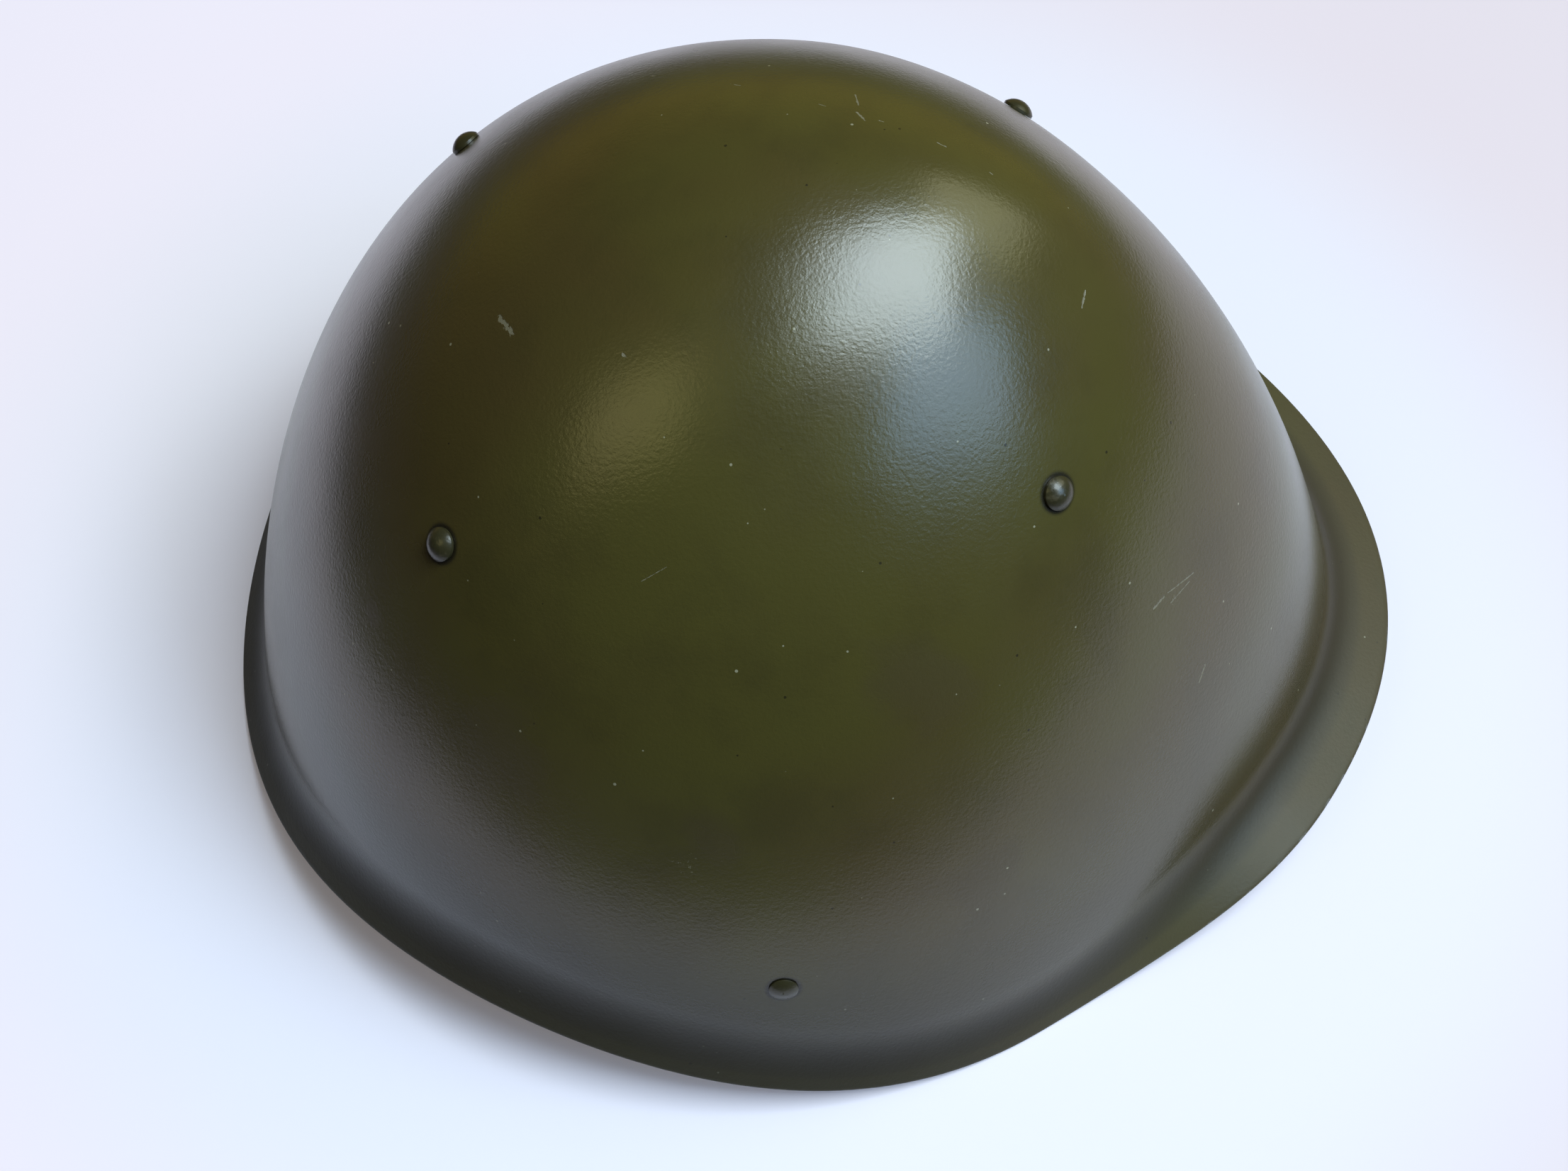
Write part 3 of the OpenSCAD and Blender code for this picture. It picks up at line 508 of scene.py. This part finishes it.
def dust_specks(tree, place):
    """A mask of scattered small specks, and their colour, pale or dark."""
    cells = add_node(tree, "TexVoronoi", {"Vector": place, "Scale": 330, "Randomness": 1.0})
    chance = add_node(tree, "SeparateColor", {"Color": cells.outputs["Color"]})
    size = spread(tree, chance.outputs[0], 0.74, 1.0, 0.0, 0.12)
    specks = spread(tree, calculate(tree, "SUBTRACT", size, cells.outputs["Distance"]), 0.0, 0.03)
    pale = calculate(tree, "GREATER_THAN", chance.outputs[1], 0.45)
    return specks, mix_colour(tree, pale, DIRT_AND_SHADE, DUST)


def paint_material(points, rivets):
    """Olive paint with an orange-peel skin, scrapes, scuffs, specks, a bare rim and painted shade."""
    material, tree, shader, place = new_material("olive_paint")

    def cover(colour, mask, strength, top):
        return mix_colour(tree, calculate(tree, "MULTIPLY", mask, strength), colour, top)

    blotches = strongest(tree, [spot_mask(tree, place, points(p), r * MM, 0.8, 0.5, 90)
                                for p, r in BLOTCHES])
    colour = cover(olive(tree, place), blotches, BLOTCH_COVER, BLOTCH_BROWN)
    # Painted shade: a dark ring round each rivet's head
    colour = cover(colour, rivet_shade_rings(tree, place, rivets), RING_SHADE_COVER, DIRT_AND_SHADE)
    specks, speck_colour = dust_specks(tree, place)
    colour = cover(colour, specks, SPECK_COVER, speck_colour)

    scrapes = strongest(tree, [line_mask(tree, place, points(p), points(q), w * MM)
                               for p, q, w in SCRAPES])
    flecks = spread(tree, noise(tree, place, 900, 3, 0.7), 0.60, 0.68)
    scuffs = strongest(tree, [spot_mask(tree, place, points(p), r * MM) for p, r in SCUFFS])
    worn = calculate(tree, "MAXIMUM", calculate(tree, "MULTIPLY", scrapes, SCRAPE_COVER),
                     calculate(tree, "MULTIPLY", scuffs, flecks))
    colour = mix_colour(tree, worn, colour, PALE_SCRAPE)

    low = add_node(tree, "Attribute", attribute_name="low").outputs["Fac"]
    # Painted shade along the crease between the dome and the brim
    crease = calculate(tree, "MULTIPLY", spread(tree, low, 0.1, 0.5),
                       spread(tree, low, 0.7, 1.3, 1.0, 0.0))
    colour = cover(colour, crease, CREASE_SHADE_COVER, DIRT_AND_SHADE)
    # Painted shade low down on the dome, fillet and brim, strongest at the rear: it darkens the paint
    # and dulls its gloss
    forward = add_node(tree, "SeparateXYZ", {"Vector": place}).outputs["X"]
    foot = calculate(tree, "MULTIPLY", spread(tree, low, -0.20, 0.05),
                     spread(tree, forward, LOW_SHADE_FROM, LOW_SHADE_TO, *LOW_SHADE_COVER))
    colour = mix_colour(tree, foot, colour, DIRT_AND_SHADE)
    rim = add_node(tree, "Attribute", attribute_name="rim").outputs["Fac"]
    broken = spread(tree, noise(tree, place, 260, 4, 0.6), 0.52, 0.64)
    bare = calculate(tree, "MULTIPLY", spread(tree, rim, 0.55, 0.95), broken)
    colour = mix_colour(tree, bare, colour, BARE_STEEL)
    tree.links.new(colour, shader.inputs["Base Color"])
    tree.links.new(calculate(tree, "MULTIPLY", bare, 0.9), shader.inputs["Metallic"])
    # The painted shade low down also dulls the gloss there
    tree.links.new(mix_colour(tree, foot, WHITE, BLACK), shader.inputs["Specular Tint"])

    rough = spread(tree, noise(tree, place, 24, 4, 0.6), 0.3, 0.75, *PAINT_ROUGHNESS)
    for more in (calculate(tree, "MULTIPLY", worn, WORN_ROUGHNESS),
                 spread(tree, low, 0.0, 1.0, 0.0, BRIM_ROUGHNESS),
                 calculate(tree, "MULTIPLY", blotches, BLOTCH_ROUGHNESS)):
        rough = calculate(tree, "ADD", rough, more)
    tree.links.new(rough, shader.inputs["Roughness"])
    shader.inputs["Specular IOR Level"].default_value = PAINT_SPECULAR
    surface = calculate(tree, "SUBTRACT", 1.0, scrapes)
    cut = bump(tree, surface, 0.1 * MM, 0.6, orange_peel(tree, place))
    tree.links.new(cut, shader.inputs["Normal"])
    return material


ZINC, ZINC_STAINED, RUST = (0.46, 0.45, 0.42), (0.27, 0.26, 0.24), (0.10, 0.045, 0.020)


def zinc_material():
    """Dull plated steel with stains and a few rust spots."""
    material, tree, shader, place = new_material("dull_zinc")
    stain = spread(tree, noise(tree, place, 90, 4, 0.6), 0.35, 0.7)
    rust = spread(tree, noise(tree, place, 210, 5, 0.7), 0.62, 0.72)
    colour = mix_colour(tree, stain, ZINC, ZINC_STAINED)
    colour = mix_colour(tree, calculate(tree, "MULTIPLY", rust, 0.7), colour, RUST)
    tree.links.new(colour, shader.inputs["Base Color"])
    tree.links.new(spread(tree, rust, 0.0, 1.0, 0.95, 0.2), shader.inputs["Metallic"])
    tree.links.new(spread(tree, stain, 0.0, 1.0, 0.34, 0.52), shader.inputs["Roughness"])
    grain = bump(tree, noise(tree, place, 1300, 3, 0.6), 0.05 * MM, 0.5)
    tree.links.new(grain, shader.inputs["Normal"])
    return material


# Leathers by name: light colour, dark colour, scale of the grain and lowest roughness
LEATHERETTE = ("brown_leatherette", (0.060, 0.042, 0.030), (0.034, 0.024, 0.018), 620, 0.42)
STRAP_LEATHER = ("strap_leather", (0.150, 0.075, 0.032), (0.085, 0.040, 0.018), 900, 0.46)
ROUGHNESS_RANGE, VALLEY_SHADE = 0.14, 0.45


def leather_material(name, light, dark, grain_scale, roughness):
    """Leather or leatherette: cell grain, creases, and a colour that varies with handling."""
    material, tree, shader, place = new_material(name)
    tone = spread(tree, noise(tree, place, 38, 4, 0.6), 0.3, 0.7)
    colour = mix_colour(tree, tone, light, dark)
    cells = add_node(tree, "TexVoronoi", {"Vector": place, "Scale": grain_scale},
                     feature="DISTANCE_TO_EDGE")
    swell = spread(tree, cells.outputs["Distance"], 0.0, 0.12)
    valley = calculate(tree, "MULTIPLY", calculate(tree, "SUBTRACT", 1.0, swell), 0.5)
    colour = mix_colour(tree, valley, colour, tuple(c * VALLEY_SHADE for c in dark))
    tree.links.new(colour, shader.inputs["Base Color"])
    tree.links.new(spread(tree, tone, 0.0, 1.0, roughness, roughness + ROUGHNESS_RANGE),
                   shader.inputs["Roughness"])
    skin = bump(tree, swell, 0.12 * MM, 0.5)
    crease = bump(tree, noise(tree, place, 150, 4, 0.6, 0.6), 0.35 * MM, 0.35, skin)
    tree.links.new(crease, shader.inputs["Normal"])
    return material


COTTON, COTTON_SOILED, COTTON_THREAD = (0.40, 0.36, 0.26), (0.27, 0.23, 0.15), (0.52, 0.48, 0.37)


def cotton_material():
    """Coarse undyed cotton cloth: a plain weave in the row frame, faintly soiled."""
    material, tree, shader, place = new_material("wadding_cotton")
    waves = [add_node(tree, "TexWave", {"Vector": place, "Scale": 210, "Distortion": 0.6,
                                        "Detail": 1, "Detail Scale": 2.0},
                      bands_direction=axis).outputs["Fac"] for axis in ("X", "Y", "Z")]
    weave = calculate(tree, "ADD", calculate(tree, "MULTIPLY", waves[0], waves[2]),
                      calculate(tree, "MULTIPLY", waves[1], waves[2]))
    soil = spread(tree, noise(tree, place, 30, 4, 0.6), 0.35, 0.7)
    colour = mix_colour(tree, soil, COTTON, COTTON_SOILED)
    colour = mix_colour(tree, calculate(tree, "MULTIPLY", weave, 0.25), colour, COTTON_THREAD)
    tree.links.new(colour, shader.inputs["Base Color"])
    shader.inputs["Roughness"].default_value = 0.92
    shader.inputs["Sheen Weight"].default_value = 0.25
    pucker = bump(tree, noise(tree, place, 120, 4, 0.6), 0.8 * MM, 0.5)
    tree.links.new(bump(tree, weave, 0.2 * MM, 0.7, pucker), shader.inputs["Normal"])
    return material


THREAD_DARK, THREAD_LIGHT = (0.22, 0.17, 0.09), (0.34, 0.28, 0.17)


def thread_material():
    """Waxed thread with fine strands."""
    material, tree, shader, place = new_material("waxed_thread")
    strand = add_node(tree, "TexWave", {"Vector": place, "Scale": 900,
                                        "Distortion": 1.0}).outputs["Fac"]
    tree.links.new(mix_colour(tree, strand, THREAD_DARK, THREAD_LIGHT), shader.inputs["Base Color"])
    shader.inputs["Roughness"].default_value = 0.7
    tree.links.new(bump(tree, strand, 0.05 * MM, 0.5), shader.inputs["Normal"])
    return material


def dress(piece, material, body):
    """Gives a piece its material and the body that it rides on."""
    piece.data.materials.clear()
    piece.data.materials.append(material)
    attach(piece, body)


# Leather pieces, thread and pads

SAME_POINT, SAME_PLANE, SHARP_EDGE = 0.004 * MM, 1.0, 30


def copy_node(node, name):
    """A new object with a CAD node's mesh, its doubled points merged and its flat faces joined."""
    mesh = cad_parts[node].data.copy()
    mesh.name = name
    work = bmesh.new()
    work.from_mesh(mesh)
    bmesh.ops.remove_doubles(work, verts=work.verts, dist=SAME_POINT)
    bmesh.ops.dissolve_limit(work, angle_limit=math.radians(SAME_PLANE), verts=work.verts,
                             edges=work.edges)
    work.to_mesh(mesh)
    work.free()
    mesh.materials.clear()
    piece = bpy.data.objects.new(name, mesh)
    bpy.context.scene.collection.objects.link(piece)
    return piece


def soften_edges(piece, width):
    """Rounds the sharp edges of a piece and shades it smooth."""
    for polygon in piece.data.polygons:
        polygon.use_smooth = True
    modifier = piece.modifiers.new("edges", "BEVEL")
    modifier.width, modifier.segments = width, 3
    modifier.limit_method, modifier.angle_limit = "ANGLE", math.radians(SHARP_EDGE)
    modifier.use_clamp_overlap = True
    piece.modifiers.new("flat_faces", "WEIGHTED_NORMAL")
    apply_modifiers(piece)


def surface_tree(piece):
    """A search tree over the surface of a piece."""
    points = [v.co.copy() for v in piece.data.vertices]
    return BVHTree.FromPolygons(points, [tuple(p.vertices) for p in piece.data.polygons])


# Stitches: length of one with its gap, thickness of the thread, and points across and along a run
STITCH_PITCH, THREAD = 3.2 * MM, 0.42 * MM
THREAD_SIDES, RUN_ROWS = 6, 6
RUN_START, RUN_SHARE = 0.12, 0.76


def stitches(name, path):
    """Thread along a path of (point, outward normal): one short raised run for each pitch."""
    lengths = [0.0]
    for (p, _), (q, _) in zip(path, path[1:]):
        lengths.append(lengths[-1] + (q - p).length)

    def at(s):
        """The point and the normal at a length along the path."""
        i = min(max(int(np.searchsorted(lengths, s)) - 1, 0), len(path) - 2)
        share = (s - lengths[i]) / max(lengths[i + 1] - lengths[i], 1e-9)
        return (path[i][0].lerp(path[i + 1][0], share),
                path[i][1].lerp(path[i + 1][1], share).normalized())

    points = []
    faces = []
    count = max(1, int(lengths[-1] / STITCH_PITCH))
    step = lengths[-1] / count
    for k in range(count):
        base = len(points)
        ahead = (at(min(step * (k + 0.9), lengths[-1]))[0] - at(step * (k + 0.1))[0]).normalized()
        for row in range(RUN_ROWS):
            share = row / (RUN_ROWS - 1)
            place, normal = at(step * (k + RUN_START + RUN_SHARE * share))
            across = ahead.cross(normal).normalized()
            lift = (math.sin(math.pi * share) ** 0.5 * 0.9 - 0.45) * THREAD
            radius = THREAD / 2 * (0.75 + 0.25 * math.sin(math.pi * share))
            for side in range(THREAD_SIDES):
                w = 2 * math.pi * side / THREAD_SIDES
                out = normal * (lift + radius * math.sin(w))
                points.append(place + out + across * radius * math.cos(w))
        for row in range(RUN_ROWS - 1):
            a = base + row * THREAD_SIDES
            b = a + THREAD_SIDES
            for side in range(THREAD_SIDES):
                following = (side + 1) % THREAD_SIDES
                faces.append((a + side, a + following, b + following, b + side))
        last = base + (RUN_ROWS - 1) * THREAD_SIDES
        faces.append(tuple(base + side for side in reversed(range(THREAD_SIDES))))
        faces.append(tuple(last + side for side in range(THREAD_SIDES)))
    return make_object(name, points, faces)


# Pads: room taken off before the swelling, the most that it may push out, and the cloth's settings
PAD_SHRINK, PAD_SWELL, PAD_VOXEL = 0.8 * MM, 1.1 * MM, 3.4 * MM
CLOTH_PRESSURE, CLOTH_QUALITY, CLOTH_FRAMES = 4, 6, 20


def make_pad(node, name):
    """A wadded pad: the CAD form, blown up a little as cloth and kept inside its room."""
    piece = copy_node(node, name)
    remesh = piece.modifiers.new("remesh", "REMESH")
    remesh.mode, remesh.voxel_size = "VOXEL", PAD_VOXEL
    apply_modifiers(piece)
    mesh = piece.data
    normals = [v.normal.copy() for v in mesh.vertices]
    for vertex, normal in zip(mesh.vertices, normals):
        vertex.co -= normal * PAD_SHRINK
    before = [v.co.copy() for v in mesh.vertices]
    cloth = piece.modifiers.new("cloth", "CLOTH")
    cloth.settings.use_pressure = True
    cloth.settings.uniform_pressure_force = CLOTH_PRESSURE
    cloth.settings.effector_weights.gravity = 0
    cloth.settings.quality = CLOTH_QUALITY
    scene = bpy.context.scene
    for number in range(1, CLOTH_FRAMES + 1):
        scene.frame_set(number)
    apply_modifiers(piece)
    scene.frame_set(1)
    for vertex, old in zip(piece.data.vertices, before):
        move = vertex.co - old
        if move.length > PAD_SWELL:
            vertex.co = old + move * (PAD_SWELL / move.length)
    smooth = piece.modifiers.new("smooth", "SUBSURF")
    smooth.levels = smooth.render_levels = 1
    apply_modifiers(piece)
    for polygon in piece.data.polygons:
        polygon.use_smooth = True
    return piece


# Floor, lights and world

# The table: half its size, its tones, and the X between which one passes into the other
TABLE_HALF = 2.2
TABLE_LEFT, TABLE_RIGHT = (0.88, 0.845, 0.96), (0.76, 0.705, 0.78)
TONE_FROM, TONE_TO = -0.2, 0.25

# The share of the tone that the lamps light, near the helmet and far from it. It changes between
# NEAR and FAR from the middle. Camera and gloss see the rest of the tone without the lamps.
LIT_NEAR, LIT_FAR = 0.85, 0.28
NEAR, FAR = 0.16, 0.25

# The pool of light painted into the table's tone: its middle, its shape, the distances at which it
# begins to fade and has faded, what is left beyond, and the X between which it comes up at the left
POOL_MIDDLE, POOL_SHAPE = (0.15, 0.06, 0), (1, 1.8, 1)
POOL_FULL, POOL_END, POOL_FAR = 0.50, 0.72, 0.08
POOL_LEFT_END, POOL_LEFT_FULL = -0.35, -0.255

# Soft lamps by name: direction, distance, size, power and colour. All face LAMP_AIM.
LAMPS = {"key_white": ((0.38, -0.10, 0.92), 1.5, (0.90, 0.82), 27.5, (0.79, 0.94, 1.0)),
         "key_blue": ((0.66, -0.42, 0.62), 1.5, (0.86, 0.62), 9.0, (0.44, 0.70, 1.0)),
         "side_fill": ((0.66, 0.32, 0.68), 1.6, (0.90, 0.80), 4.6, (1.0, 1.0, 0.68)),
         "warm": ((-0.57, -0.38, 0.73), 1.6, (0.72, 0.52), 1.8, (1.0, 0.88, 0.38))}
LAMP_AIM = Vector((0, 0, 0.1))

# Colours of the room, in general and low down behind the helmet
ROOM, ROOM_BEHIND = (0.022, 0.021, 0.018), (0.30, 0.21, 0.05)


def make_floor():
    """A pale table top with a painted pool of light, of which a part shows without the lamps."""
    size = TABLE_HALF
    corners = [(-size, -size, 0), (size, -size, 0), (size, size, 0), (-size, size, 0)]
    floor = make_object("floor", corners, [(0, 1, 2, 3)], smooth=False)
    material, tree, shader, place = new_material("table")
    across = add_node(tree, "SeparateXYZ", {"Vector": place}).outputs["X"]
    tint = mix_colour(tree, spread(tree, across, TONE_FROM, TONE_TO), TABLE_LEFT, TABLE_RIGHT)

    # Painted pool of light: the table's tone fades to dark away from its middle and at the left
    moved = add_node(tree, "VectorMath", {0: place, 1: POOL_MIDDLE}, operation="SUBTRACT").outputs[0]
    shaped = add_node(tree, "VectorMath", {0: moved, 1: POOL_SHAPE}, operation="MULTIPLY").outputs[0]
    away = add_node(tree, "VectorMath", {0: shaped}, operation="LENGTH").outputs["Value"]
    left = spread(tree, across, POOL_LEFT_END, POOL_LEFT_FULL, 1 - POOL_FAR, 0.0)
    dim = strongest(tree, [spread(tree, away, POOL_FULL, POOL_END, 0.0, 1 - POOL_FAR), left])
    tint = mix_colour(tree, dim, tint, BLACK)

    gap = add_node(tree, "VectorMath", {0: place}, operation="LENGTH").outputs["Value"]
    lit = spread(tree, gap, NEAR, FAR, LIT_NEAR, LIT_FAR)
    tree.links.new(mix_colour(tree, lit, BLACK, tint), shader.inputs["Base Color"])
    shader.inputs["Roughness"].default_value = 0.75
    shader.inputs["Specular IOR Level"].default_value = 0.2
    rays = add_node(tree, "LightPath").outputs
    seen = strongest(tree, [rays["Is Camera Ray"], rays["Is Glossy Ray"], rays["Is Transmission Ray"]])
    tree.links.new(tint, shader.inputs["Emission Color"])
    unlit = calculate(tree, "SUBTRACT", 1.0, lit)
    tree.links.new(calculate(tree, "MULTIPLY", seen, unlit), shader.inputs["Emission Strength"])
    floor.data.materials.append(material)


def make_light(name, direction, distance, size, power, colour):
    """A soft area light that faces the helmet from a direction."""
    data = bpy.data.lights.new(name, "AREA")
    data.shape, data.size, data.size_y = "RECTANGLE", size[0], size[1]
    data.energy, data.color = power, colour
    light = bpy.data.objects.new(name, data)
    back = Vector(direction).normalized()
    side = (Vector((1, 0, 0)) - back * back.x).normalized()
    turn = Matrix((side, back.cross(side), back)).transposed().to_4x4()
    light.matrix_world = Matrix.Translation(LAMP_AIM + back * distance) @ turn
    bpy.context.scene.collection.objects.link(light)


def make_world():
    """A dim room, warmer and lighter low down behind the helmet."""
    world = bpy.data.worlds.new("room")
    world.use_nodes = True
    tree = world.node_tree
    direction = add_node(tree, "TexCoord").outputs["Generated"]
    axes = add_node(tree, "SeparateXYZ", {"Vector": direction})
    low = spread(tree, axes.outputs["Z"], 0.05, 0.6, 1.0, 0.0)
    behind_it = calculate(tree, "MULTIPLY", low, spread(tree, axes.outputs["Y"], 0.2, 0.9))
    background = tree.nodes["Background"]
    tree.links.new(mix_colour(tree, behind_it, ROOM, ROOM_BEHIND), background.inputs["Color"])
    background.inputs["Strength"].default_value = 1.0
    bpy.context.scene.world = world


# The object

# CAD nodes by what they are made of. Zinc parts and all rivets keep their CAD meshes, the others
# are replaced by softer ones.
ZINC_PARTS = ("spring", "liner_hoop", "hoop_rivets", "petal_eyelets", "strap_bracket", "strap_ring",
              "buckle")
LINER_PARTS = ("head_band", "petal_front", "petal_rear", "petal_left", "petal_right")
STRAP_PARTS = ("strap_long", "strap_short", "strap_keeper")
PADS = ("pad_front", "pad_rear", "pad_left", "pad_right")
LINER_ROUNDING, STRAP_ROUNDING = 0.35 * MM, 0.4 * MM

# Two seams round the head band, each in parts of some degrees either way
BAND_SEAMS = (("band_stitch_low", 40.5 * MM), ("band_stitch_high", 57.0 * MM))
SEAM_PARTS, SEAM_HALF, SEAM_POINTS = 4, 44, 60

make_camera()
make_floor()
for lamp, settings in LAMPS.items():
    make_light(lamp, *settings)
make_world()

shell = make_shell()
shell_tree = surface_tree(shell)
rivet_heads = []
for side in (1, -1):
    for angle, drop in RIVETS.values():
        rivet_heads.append((on_wall(side * angle, CROWN_HEIGHT - drop), CROWN_HEAD))
    rivet_heads.append((on_wall(side * SIDE_RIVET_ANGLE, SIDE_RIVET_HEIGHT), SIDE_HEAD))


def photo_point(pixel):
    """The point of the shell that shows at a pixel of the photograph."""
    start, direction = photo_ray(*pixel)
    return shell_tree.ray_cast(start, direction)[0]


dress(shell, paint_material(photo_point, rivet_heads), "helmet")
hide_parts("steel_shell")

zinc = zinc_material()
rivet_olive = rivet_paint()
leatherette = leather_material(*LEATHERETTE)
leather = leather_material(*STRAP_LEATHER)
cotton = cotton_material()
thread = thread_material()

for name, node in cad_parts.items():
    if name.startswith(("crown_rivet", "side_rivet")):
        finish = rivet_olive
    elif name.startswith(ZINC_PARTS) or name.endswith("_rivet"):
        finish = zinc
    else:
        continue
    for place in node.material_slots:
        place.material = finish

liner = {}
for name in LINER_PARTS:
    piece = copy_node(name, name + "_visual")
    soften_edges(piece, LINER_ROUNDING)
    dress(piece, leatherette, "helmet")
    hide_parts(name)
    liner[name] = piece

for name in STRAP_PARTS:
    piece = copy_node(name, name + "_visual")
    soften_edges(piece, STRAP_ROUNDING)
    dress(piece, leather, name)
    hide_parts(name)

for name in PADS:
    piece = make_pad(name, name + "_visual")
    dress(piece, cotton, "helmet")
    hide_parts(name)

band_tree = surface_tree(liner["head_band"])
for name, height in BAND_SEAMS:
    for part in range(SEAM_PARTS):
        path = []
        for turn in np.linspace(-SEAM_HALF, SEAM_HALF, SEAM_POINTS):
            w = math.radians(360 / SEAM_PARTS * part + turn)
            aim = Vector((math.cos(w), math.sin(w), 0))
            point, normal, _, _ = band_tree.ray_cast(Vector((-MIDDLE, 0, height)), aim)
            path.append((point, normal if normal.dot(aim) < 0 else -normal))
        dress(stitches(f"{name}_{part}", path), thread, "helmet")

bpy.context.scene.view_settings.view_transform = "Standard"
